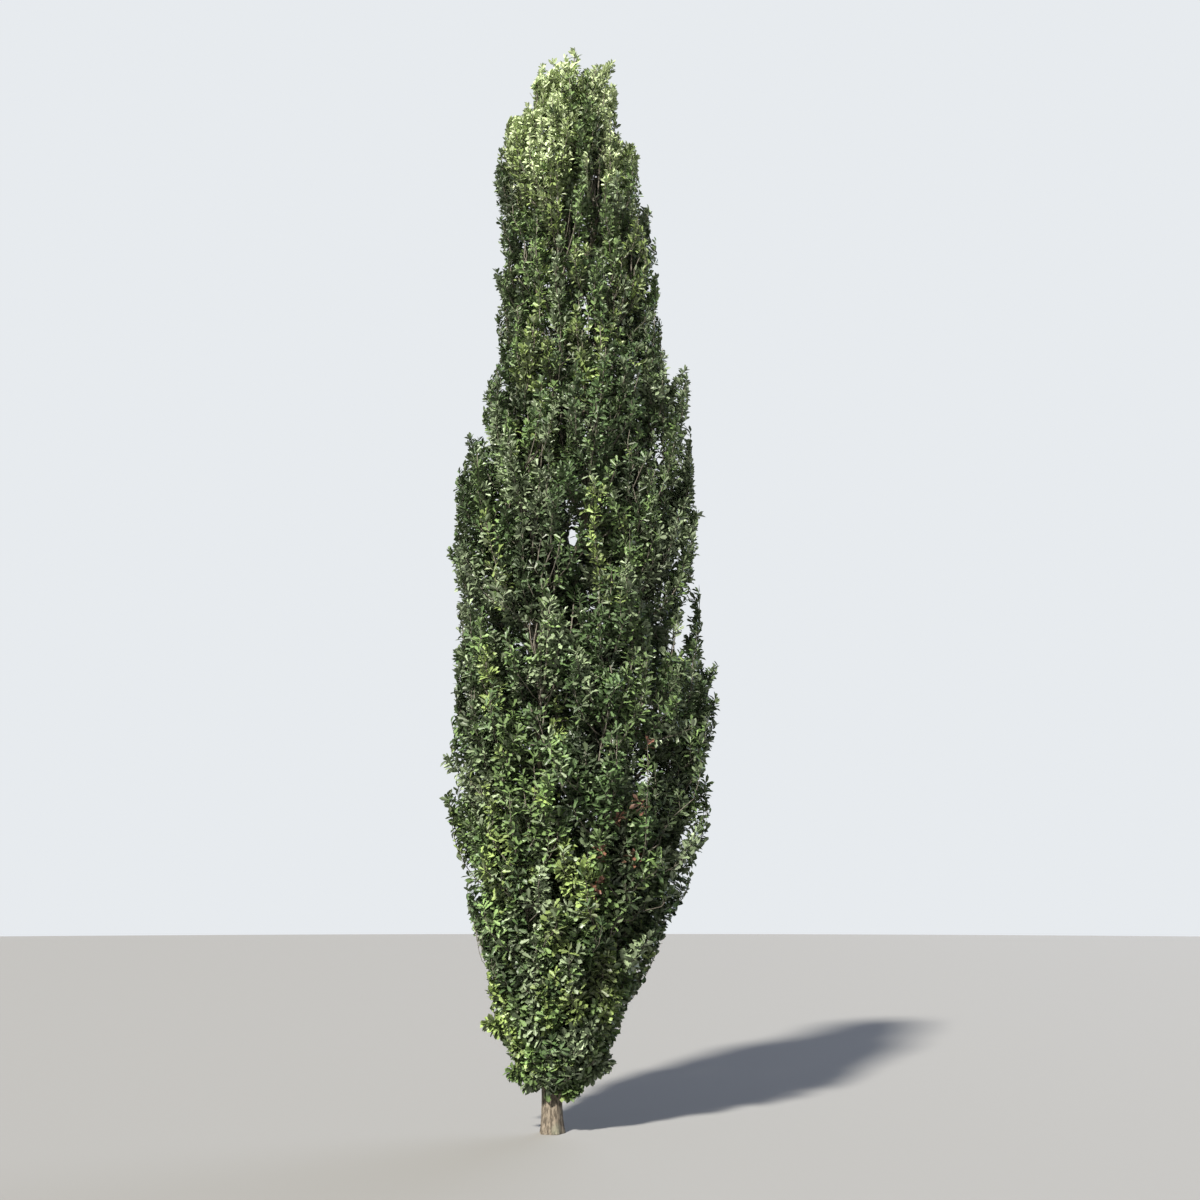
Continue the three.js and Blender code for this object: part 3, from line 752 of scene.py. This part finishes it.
face = np.bincount(holder, radius, len(names)) * 2 * np.pi * np.ptp(z) / len(z)


def plumesOf(m):  # where the plumes of mass m start and where they meet the outside
    draw = seeded(m + 1)
    turn, rise = draw(), draw()
    k = np.arange(plume["tries"])
    t = mix(*plume["between"], (rise + k * plume["golden"]) % 1)
    angle = np.radians(bearing[m] + mix(-spread[m], spread[m], (turn + k * plume["silver"]) % 1))
    out = np.stack([np.cos(angle), np.sin(angle), 0 * angle], -1)
    axis = axisAt(m, t)
    steps = np.arange(1, plume["steps"]) * plume["step"]
    tried = axis[:, None] + steps[None, :, None] * out[:, None]
    free = inSpace(m, tried.reshape(-1, 3), plume["meets"]).reshape(len(k), -1)
    length = np.where(free.all(1), len(steps), free.argmin(1)) * plume["step"]
    meets = crownShare(axis + (length + plume["step"])[:, None] * out) >= plume["meets"]
    closeness = mix(*plume["perSquareMetre"], tip[m] / crown["height"])
    many = max(plume["least"], round(closeness * face[m]))
    kept = np.flatnonzero(meets & (axis[:, 2] < plume["highest"]))[:many]
    lowest, highest = stemShare[m] + plume["rootInset"], crown["stem"][1] - plume["rootInset"]
    roots = axisAt(m, np.clip(t[kept] - plume["rise"], lowest, highest))
    return roots, axis[kept] + length[kept, None] * out[kept]


roots, ends = (np.concatenate(parts) for parts in zip(*map(plumesOf, range(len(names)))))
# the tip climbs on, and follows the outline as that draws in
climbs = rng.uniform(*plume["climb"], len(ends)) * atHeights(ends, plume["climbByHeight"])
sideways = np.abs(ends[:, 1]) / crownAt(ends[:, 2])[1]
slope, least = plume["evenSides"]
drawnIn = plume["unevenness"] * rng.random(len(ends)) ** 2 * np.clip(sideways * slope, least, 1)
reaches = 1 - drawnIn * (1 - inFront(ends, "palePlumes"))
for _ in range(plume["climbRounds"]):
    tops = pulledIn(ends + climbs[:, None] * (0, 0, 1), reaches)
    tops = pulledIn(tops, np.minimum(reaches, plume["inside"] - openDepth(tops)))
    fits = ~inGap(tops) & ~isOpen(tops) & (tops[:, 2] < plume["highest"])
    climbs = np.where(fits, climbs, climbs * plume["shorter"])
plumeLines = climbing(roots, tops)

# inner twigs grow from the boughs, the stems and the trunk
inner = {
    # how many on a bough, on a stem and on the trunk, between which shares of its length
    "limbs": ((6, 0.40, 0.98), (6, 0.02, 0.85), (40, 0.05, 0.97)),
    "length": (0.18, 0.42),
    "turnSpread": 0.8,
    "lift": 0.75,
    "liftByHeight": ((0.4, 1.4), (0.1, 1)),
    "reach": ((0.5, 1.2), (0.93, 0.74)),  # shares of the crown's radius, at two heights
    "above": 0.15,  # the highest plume
}
innerRoots, innerTops = [], []
for lines, (many, first, last) in zip((boughLines, stemLines, trunkLine), inner["limbs"]):
    rings = lines.shape[1] - 1
    place = mix(first, last, (np.arange(many) + 0.5) / many)
    if lines is trunkLine:
        place = place ** (1 / trunk["crowding"])
    ring = np.rint(place[None] * rings + rng.uniform(-1, 1, (len(lines), many))).astype(int).clip(0, rings)
    start = lines[np.arange(len(lines))[:, None], ring].reshape(-1, 3)
    turn = goldenTurn * np.arange(len(start)) + rng.uniform(0, inner["turnSpread"], len(start))
    lift = inner["lift"] * atHeights(start, inner["liftByHeight"])
    way = unit(np.stack([np.cos(turn), np.sin(turn), lift], -1))
    innerRoots.append(start)
    innerTops.append(start + way * rng.uniform(*inner["length"], (len(start), 1)))
innerRoots, innerTops = np.concatenate(innerRoots), np.concatenate(innerTops)
innerTops = pulledIn(innerTops, atHeights(innerTops, inner["reach"]))
innerTops[:, 2] = np.minimum(innerTops[:, 2], plume["highest"] + inner["above"])
innerLines = climbing(innerRoots, innerTops)

limbPoints = np.concatenate(  # where further twigs may grow
    [stemLines.reshape(-1, 3), boughLines[:, bough["bareRings"]:].reshape(-1, 3), trunkLine[0]])


def fromNearestLimb(tops, below, early=twig["early"]):  # roots about so far below the tips
    aim = tops - (0, 0, 1) * np.asarray(below).reshape(-1, 1)
    far = np.linalg.norm(aim[:, None] - limbPoints[None], axis=-1)
    far += 3 * (limbPoints[None, :, 2] > tops[:, None, 2] - 0.05)  # and not above them
    return climbing(limbPoints[far.argmin(1)], tops, early)


# fillers: of places spread evenly over layers, each that no twig comes near gets its own
filler = {
    # share of the crown's radius, places, and how much further off a twig may be
    "layers": ((0.96, 440, 1.35), (0.76, 460, 1), (0.54, 280, 1), (0.30, 130, 1)),
    "rounds": 4,
    "near": ((0.8, 3, 8, 9.1), (0.098, 0.165, 0.11, 0.07)),
    "below": ((0.4, 1.4), (0.04, 0.45)),
    "foot": 0.42,
    "above": 0.12,  # the highest plume
    "levels": 400,  # at which the crown is measured
    "evenness": 0.7,  # fewer for the radius where the crown is wide
    "jitter": 0.03,
}
heights = np.linspace(filler["foot"], plume["highest"] + filler["above"], filler["levels"])
area = np.cumsum(crownAt(heights)[1] ** filler["evenness"])
fillerLines = []
outer = np.concatenate([plumeLines[:, 2:], innerLines[:, 2:]]).reshape(-1, 3)
for share, many, loose in filler["layers"] * filler["rounds"]:
    k = np.arange(many) + rng.random()
    z = np.interp(k / many * area[-1], area, heights)
    middle, radius = crownAt(z)
    x = middle + share * radius * np.cos(goldenTurn * k)
    places = np.stack([x, share * radius * np.sin(goldenTurn * k), z], -1)
    places += rng.normal(0, filler["jitter"], places.shape)
    gap = np.linalg.norm(places[:, None] - outer[None], axis=-1).min(1)
    empty = (gap > loose * atHeights(places, filler["near"])) & ~inGap(places) & ~isOpen(places)
    places = places[empty]
    grown = fromNearestLimb(places, atHeights(places, filler["below"]))
    fillerLines.append(grown)
    outer = np.concatenate([outer, grown[:, 2:].reshape(-1, 3)])
fillerLines = np.concatenate(fillerLines)

# spires are thin twigs that stand out of the top and of the sides
spire = {
    "below": ((0.4, 1.4), (0.03, 0.55)),
    "early": 1.1,
    "tips": np.array([
        (0.13, 0.00, 9.65), (0.47, -0.02, 9.46), (0.05, -0.03, 9.50), (-0.07, -0.03, 9.45),
        (-0.18, -0.02, 9.42), (-0.22, 0.05, 9.18), (0.35, 0.02, 9.43), (0.46, -0.02, 9.36),
        (0.50, -0.04, 9.18), (0.27, -0.08, 9.30), (0.20, 0.09, 9.36), (-0.03, 0.12, 9.32),
        (0.10, -0.12, 9.28), (-0.31, -0.05, 8.97), (-0.28, 0.08, 8.95), (-0.43, -0.05, 8.74),
        (0.69, -0.04, 8.43), (0.61, -0.10, 8.46), (0.66, 0.06, 8.34), (0.81, -0.04, 7.84),
        (0.79, 0.05, 7.70), (-0.57, -0.06, 8.14), (-0.54, -0.05, 7.18), (-0.56, 0.03, 7.28),
        (0.86, -0.06, 7.16), (-0.49, -0.05, 6.48), (1.10, -0.08, 6.26), (1.12, 0.04, 6.10),
        (-0.75, -0.10, 5.62), (1.19, -0.10, 4.93), (1.15, -0.10, 4.84), (-0.88, -0.08, 4.60),
        (1.33, -0.10, 3.60), (1.31, -0.10, 3.32), (-0.80, -0.12, 3.70), (0.16, -0.10, 0.36),
        (-0.27, -0.12, 0.46), (0.40, -0.08, 0.52), (0.70, -0.05, 8.42), (-0.87, -0.06, 2.84),
        (-0.85, -0.06, 2.50), (1.22, -0.08, 2.62), (1.28, -0.10, 3.08), (-0.47, -0.08, 0.80),
        (-0.02, -0.43, 0.90), (-0.02, -0.98, 2.56),
    ]),
}
spireLines = fromNearestLimb(spire["tips"], atHeights(spire["tips"], spire["below"]), spire["early"])

# behind each cleft a stem stands upright, bare as far up as the cleft goes
upright = {"past": 0.28, "depth": 0.5, "below": 0.6, "early": 4}
x, z, _, tall = np.array(crown["clefts"]).T
uprightTops = atDepth(x, z + tall + upright["past"], -upright["depth"] * crownAt(z)[1])
uprightLines = fromNearestLimb(uprightTops, 2 * tall + upright["below"], upright["early"])

twigs = {
    "plume": plumeLines,
    "spire": spireLines,
    "inner": innerLines,
    "filler": fillerLines,
    "upright": uprightLines,
}
print("twigs ready:", {kind: len(lines) for kind, lines in twigs.items()})

# Shoots: short and leafy, all round the outer part of each twig

shoot = {
    # on each kind of twig: how many, from which share of its length, how long, and the twig's girth
    "kinds": {
        "plume": (19, 0.16, 1, 1),
        "spire": (15, 0.34, 0.55, 0.7),
        "inner": (6, 0.22, 1, 0.7),
        "filler": (10, 0.25, 1, 0.7),
        "upright": (8, 0.72, 1, 1.5),
    },
    "jitter": 0.03,
    "turn": 137.5,
    "lean": (58, 30),  # degrees from the twig
    "leanSpread": 9,
    "tipLean": 0.1,  # radians, where it goes on from the twig's tip
    "lift": ((0.4, 1.1, 8.8, 9.4), (-0.15, 0.45, 0.45, 0.9)),
    "length": (0.17, 0.075),  # near the twig's root and at its tip
    "lengthSpread": (0.7, 1.3),
    "byHeight": ((4, 9.4), (1, 0.72)),
    "rise": 0.5,
    "leastReach": 0.9,  # share of the crown's radius
    "beyond": (0.01, 0.08),  # how far past its twig's tip
    "lowest": 0.27,
    "highest": 9.66,
    "fitRounds": 5,
    "shorter": 0.75,
    "leafyTwig": 0.35,  # a twig that keeps fewer of its shoots is left out
    "radius": (0.0026, 0.0),
}


def leaning(way, ref, turn, lean):  # ways that lean off a way, turned round it
    side = unit(np.cross(way, ref))
    back = np.cross(way, side)
    around = np.cos(turn)[..., None] * side + np.sin(turn)[..., None] * back
    return way * np.cos(lean)[..., None] + around * np.sin(lean)[..., None]


def shootsOf(kind):
    lines = twigs[kind]
    many, first, slender, _ = shoot["kinds"][kind]
    rows = np.arange(len(lines))[:, None]
    place = mix(first, 1, (np.arange(many) + 0.5) / many)
    place = np.clip(place[None] + rng.uniform(-shoot["jitter"], shoot["jitter"], (len(lines), many)), 0, 1)
    place[:, -1] = 1  # the last one goes on from the twig's tip
    whole = place * twig["rings"]
    ring = np.minimum(whole.astype(int), twig["rings"] - 1)
    root = mix(lines[rows, ring], lines[rows, ring + 1], (whole - ring)[..., None])
    along = unit(lines[rows, ring + 1] - lines[rows, ring])
    turn = np.radians(shoot["turn"] * np.arange(many)[None] + rng.uniform(0, 360, (len(lines), 1)))
    lean = np.radians(mix(*shoot["lean"], place) + rng.normal(0, shoot["leanSpread"], place.shape))
    lean[:, -1] = shoot["tipLean"]
    heading = leaning(along, (0.3, 1.0, 0.2), turn, lean)
    heading = unit(heading + atHeights(root, shoot["lift"])[..., None] * (0, 0, 1))
    length = mix(*shoot["length"], place) * rng.uniform(*shoot["lengthSpread"], place.shape) * slender
    length *= atHeights(root, shoot["byHeight"])
    return root.reshape(-1, 3), heading.reshape(-1, 3), length.ravel()


def onShoot(s):  # points at share s of every shoot, which turns up a little
    s = np.asarray(s)[None, :, None]
    up = (shootLength ** 2 * shoot["rise"])[:, None, None] * s ** 2 * (0, 0, 1)
    return shootRoot[:, None] + heading[:, None] * shootLength[:, None, None] * s + up


shootRoot, heading, shootLength = (np.concatenate(parts) for parts in zip(*map(shootsOf, twigs)))
twigLines = np.concatenate(list(twigs.values()))
kinds = list(twigs)
twigKind = np.repeat(np.arange(len(kinds)), [len(lines) for lines in twigs.values()])
perTwig = np.array([shoot["kinds"][kind][0] for kind in kinds])[twigKind]
twigGirth = np.array([shoot["kinds"][kind][3] for kind in kinds])[twigKind]
isSpire = twigKind == kinds.index("spire")
shootTwig = np.repeat(np.arange(len(twigLines)), perTwig)
onSpire = isSpire[shootTwig]
shootLimit = np.maximum(crownShare(twigLines[:, -1]), shoot["leastReach"])
shootLimit += rng.uniform(*shoot["beyond"], len(twigLines))
for _ in range(shoot["fitRounds"]):  # shorter where it would leave the crown
    shootTip = onShoot([1])[:, 0]
    fits = (crownShare(shootTip) < shootLimit[shootTwig]) & ~isOpen(shootTip)
    fits |= onSpire & (shootTip[:, 2] < shoot["highest"])
    fits &= shootTip[:, 2] > shoot["lowest"]
    shootLength = np.where(fits, shootLength, shootLength * shoot["shorter"])
kept = fits & (onSpire | ~isOpen(shootRoot))
leafy = np.bincount(shootTwig[kept], minlength=len(twigLines)) > shoot["leafyTwig"] * perTwig
leafy |= isSpire | (twigKind == kinds.index("upright"))
kept &= leafy[shootTwig]
shootRoot, heading, shootLength, shootTwig, onSpire = (
    part[kept] for part in (shootRoot, heading, shootLength, shootTwig, onSpire))
shootLines = onShoot([0, 1])
shootRadii = np.tile(shoot["radius"], (len(shootRoot), 1))
twigRadii = mix(*twig["radius"], np.linspace(0, 1, twig["rings"] + 1)) * twigGirth[:, None]

# a shoot's wood is a slender three-sided spike
bm = bmesh.new()
bmesh.ops.create_cone(bm, cap_ends=True, segments=3, radius1=1, radius2=0, depth=1)
bmesh.ops.translate(bm, verts=bm.verts, vec=(0, 0, 0.5))
bmesh.ops.remove_doubles(bm, verts=bm.verts, dist=1e-4)
spike = asArrays(bm)
foliageNodes = [f"foliage_{name}" for name in names]
for name, shape, lines, radii in (
    ("stemBark", tubeShape(stem["sides"], stem["rings"]), stemLines, stemRadii),
    ("twigBark", tubeShape(twig["sides"], twig["rings"]), twigLines[leafy], twigRadii[leafy]),
    ("shootBark", spike, shootLines, shootRadii),
):
    joinedPiece(name, foliageNodes, shape, bend(shape, lines, radii), youngBark)
print("shoots ready:", len(shootRoot))

# Leaves

leaf = {
    "perShoot": 11,
    "crowding": 0.72,  # they crowd towards the shoot's tip
    "turn": (137.5, 12),  # degrees from one to the next, and how unevenly
    "lean": (70, 15),  # degrees from the shoot, at its root and at its tip
    "leanSpread": 11,
    "droop": ((0.3, 4, 9.7), (-0.34, -0.05, 0.22)),
    "droopSpread": 0.12,
    "facing": (0.55, 0.60, 0.50),  # how much outwards, upwards and any way
    "length": (0.060, 0.090),
    "alongShoot": (0.80, 0.26, 1.4),  # size at its ends, what the middle adds, and where that lies
    "byHeight": ((1.5, 5, 9.2), (1, 0.84, 0.66)),
    "inShade": ((0.5, 0.8), (1.30, 1)),  # larger deep inside, by shares of the crown's radius
    "deep": (0.57, 0.36),  # up to which share there are fewer, and how many of them stay
    "behind": {"clefts": 2.2, "hollows": 1},  # all of them stay near these
    "width": (0.85, 1.12),
    "fold": (0.10, 0.60),  # how far the halves rise from the midrib
    "arch": (0.05, 0.35),  # how far the tip falls
    "beyond": 0.035,  # how far past its shoot's limit
    "lowest": 0.235,
    "offTrunk": 0.02,
    "inBox": 0.003,
}
# up to which height, how many in one piece, and half an outline for a leaf of length 1
blades = {
    "lobed": (1.8, 19000, [
        (0.0, 0.0), (0.14, 0.27), (0.08, 0.36), (0.225, 0.52), (0.13, 0.61), (0.24, 0.80), (0.0, 1.0)]),
    "waved": (5.4, 32000, [(0.0, 0.0), (0.15, 0.33), (0.085, 0.46), (0.215, 0.74), (0.0, 1.0)]),
    "plain": (10, 48000, [(0.0, 0.0), (0.16, 0.36), (0.205, 0.72), (0.0, 1.0)]),
}


def bladeShape(outline):
    bm = bmesh.new()
    bm.faces.new([bm.verts.new((x, y, 0)) for x, y in outline])
    bmesh.ops.triangulate(bm, faces=bm.faces)
    bmesh.ops.mirror(bm, geom=bm.verts[:] + bm.edges[:] + bm.faces[:], axis="X", merge_dist=1e-4)
    bmesh.ops.recalc_face_normals(bm, faces=bm.faces)
    if sum(f.normal.z for f in bm.faces) < 0:
        bmesh.ops.reverse_faces(bm, faces=bm.faces)
    return asArrays(bm)


# tints dealt out by twig: base colour, under side, and weights at some heights; the weights are partly the
# leaves' own colours and partly painted light and shade, with fewer dark tints at the foot, where the sun
# reaches, and pale ones at the top
tintHeights = (0.5, 1.9, 3.9, 5.8, 7.6, 8.5, 9.7)
# their under sides are partly painted shade, about as dark as the upper sides where an oak's are paler
tints = {
    "deep": ((0.076, 0.134, 0.044), (0.12, 0.16, 0.085), (0.4, 5.6, 6.6, 6.0, 6.2, 2.0, 0.2)),
    "grey": ((0.222, 0.288, 0.156), (0.21, 0.26, 0.16), (1.6, 3.2, 4.3, 3.8, 1.2, 0.8, 1.2)),
    "mid": ((0.146, 0.232, 0.072), (0.16, 0.21, 0.11), (6.6, 4.4, 3.4, 3.6, 5.0, 3.2, 0.8)),
    "olive": ((0.216, 0.296, 0.084), (0.20, 0.24, 0.13), (4.6, 1.2, 0.4, 0.8, 3.2, 5.0, 5.0)),
    # pale top tint: partly the top leaves' own yellow-green, partly painted light for glare and light through
    # the leaves
    "fresh": ((0.580, 0.695, 0.370), (0.50, 0.58, 0.32), (0, 0, 0, 0, 0.2, 6.5, 38)),
    "russet": ((0.190, 0.085, 0.052), (0.17, 0.10, 0.07), (0, 0, 0, 0, 0, 0, 0)),
}
dealing = {
    "patch": (0.40, 0.40, 1.0),  # neighbouring twigs tend to the same tint
    "patchSpread": 0.11,
    # painted light: the pale plumes' twigs are dealt paler tints
    "plumePaintedLight": 0.5,
    # painted shade: the hollows' twigs are dealt darker tints
    "hollowPaintedShade": 0.8,
    "stray": 0.2,  # shoots that differ from their twig
    # where a few shoots have turned already: x and height, as the lens sees them
    "russet": ((0.75, 2.99), (0.58, 2.52), (0.56, 2.40), (0.46, 2.15), (0.62, 2.10), (0.39, 1.86)),
}
# how light a leaf is, from 0 to 1 and a little over: random, with painted light on the pale plumes and
# painted shade in the hollows
lightness = {
    "usual": (0.3, 1),
    "russet": (0.4, 1),
    # painted light: the pale plumes' leaves are made lighter
    "plumePaintedLight": 0.50,
    # painted shade: the hollows' leaves are made darker
    "hollowPaintedShade": 1.0,
    "most": 1.25,
}
russet = list(tints).index("russet")
twigTip = twigLines[:, -1]
chance = np.stack([np.interp(twigTip[:, 2], tintHeights, weights) for _, _, weights in tints.values()])
chance = (chance / chance.sum(0)).cumsum(0)
likeness = noiseAt(twigTip, *dealing["patch"]) + rng.normal(0, dealing["patchSpread"], len(twigLines))
# painted light deals paler tints on the pale plumes
paintedPlumeLight = dealing["plumePaintedLight"] * inFront(twigTip, "palePlumes")
# painted shade deals darker tints in the hollows
likeness += paintedPlumeLight - dealing["hollowPaintedShade"] * inFront(twigTip, "hollows")
luck = likeness.argsort().argsort() / len(twigLines)
twigTint = (luck[None] > chance).sum(0)
strayTint = (rng.random(len(shootTwig))[None] > chance[:, shootTwig]).sum(0)
shootTint = np.where(rng.random(len(shootTwig)) < dealing["stray"], strayTint, twigTint[shootTwig])
shootTip = shootLines[:, 1]
across, up = seen(shootTip)
for x, z in dealing["russet"]:
    near = np.hypot(across - x, up - z) + 0.5 * shootTip[:, 1]
    shootTint[near.argmin()] = russet

n = leaf["perShoot"]
s = np.minimum(1, ((np.arange(n) + 0.9) / n) ** leaf["crowding"])
base = onShoot(s).reshape(-1, 3)
owner = np.repeat(np.arange(len(shootRoot)), n)
many = (len(shootRoot), n)
step, unevenly = leaf["turn"]
turn = step * np.arange(n)[None] + rng.uniform(0, 360, (len(shootRoot), 1)) + rng.normal(0, unevenly, many)
lean = mix(*leaf["lean"], s ** 3)[None] + rng.normal(0, leaf["leanSpread"], many)
along = leaning(heading[:, None], (0.2, 0.3, 1.0), np.radians(turn), np.radians(lean))
droop = atHeights(base, leaf["droop"]).reshape(-1, n)
along[..., 2] += droop + rng.normal(0, leaf["droopSpread"], droop.shape)
along = unit(along).reshape(-1, 3)
outwardShare, upShare, anyShare = leaf["facing"]
facing = outwards(base) * outwardShare + (0, 0, upShare) + rng.normal(0, anyShare, base.shape)
facing = unit(facing - (facing * along).sum(-1, keepdims=True) * along)
atEnds, more, shift = leaf["alongShoot"]
sizes = atEnds + more * np.sin(np.pi * s ** shift)
size = rng.uniform(*leaf["length"], len(base)) * np.tile(sizes, len(shootRoot))
size *= atHeights(base, leaf["byHeight"])
size *= np.interp(crownShare(base), *leaf["inShade"])

# a leaf stays where its tip keeps to the crown, and a spire's leaves stand out of it
tips = base + along * size[:, None]
inReach = crownShare(tips) < shootLimit[shootTwig[owner]] + leaf["beyond"]
kept = (onSpire[owner] | (inReach & ~isOpen(tips))) & (tips[:, 2] > leaf["lowest"])
behind = np.any([within(base, kind) < edge for kind, edge in leaf["behind"].items()], axis=0)
deep, keptDeep = leaf["deep"]
kept &= (crownShare(base) > deep) | (rng.random(len(base)) < keptDeep) | behind
fromTrunk = np.linalg.norm((tips - trunkAt(tips[:, 2]))[:, :2], axis=-1)
kept &= fromTrunk > trunkRadiusAt(tips[:, 2]) + leaf["offTrunk"]
base, along, facing, size, owner = (part[kept] for part in (base, along, facing, size, owner))
side = np.cross(along, facing)
width = rng.uniform(*leaf["width"], len(base))
fold = rng.uniform(*leaf["fold"], len(base))
arch = rng.uniform(*leaf["arch"], len(base))
# random tone, raised on the pale plumes as painted light and lowered in the hollows as painted shade
tone = mix(*lightness["usual"], rng.random(len(base))) + lightness["plumePaintedLight"] * inFront(base, "palePlumes")
tone = np.clip(tone - lightness["hollowPaintedShade"] * inFront(base, "hollows"), 0, lightness["most"])
leafTint = shootTint[owner]
tone = np.where(leafTint == russet, rng.uniform(*lightness["russet"], len(base)), tone)


def leafPoints(shape, picked):
    x, y = shape["verts"][:, 0], shape["verts"][:, 1]
    wide = width[picked, None] * x[None]
    lift = fold[picked, None] * np.abs(wide) - arch[picked, None] * y[None] ** 2
    move = wide[..., None] * side[picked, None] + y[None, :, None] * along[picked, None]
    move = move + lift[..., None] * facing[picked, None]
    return base[picked, None] + size[picked, None, None] * move


low, high = (np.array(corner) for corner in cadBox)
below = 0
for kind, (above, most, outline) in blades.items():
    atHeight = (base[:, 2] >= below) & (base[:, 2] < above)
    below = above
    shape = bladeShape(outline)
    uv = shape["verts"][:, :2] + (0.5, 0)
    for index, (tint, (colour, under, _)) in enumerate(tints.items()):
        chosen = np.flatnonzero((leafTint == index) & atHeight)
        if not len(chosen):
            continue
        points = leafPoints(shape, chosen)
        inside = ((points > low + leaf["inBox"]) & (points < high - leaf["inBox"])).all((1, 2))
        chosen, points = chosen[inside], points[inside]
        order = np.argsort(base[chosen, 2], kind="stable")
        material = bpy.data.materials.get(f"leaf_{tint}") or leafMaterial(f"leaf_{tint}", colour, under)
        for part, picked in enumerate(np.array_split(order, math.ceil(len(chosen) / most))):
            name = f"leaves_{tint}_{kind}_{part + 1}"
            tones = tone[chosen[picked]]
            joinedPiece(name, foliageNodes, shape, points[picked], material, uv, tones)
print("leaves ready")
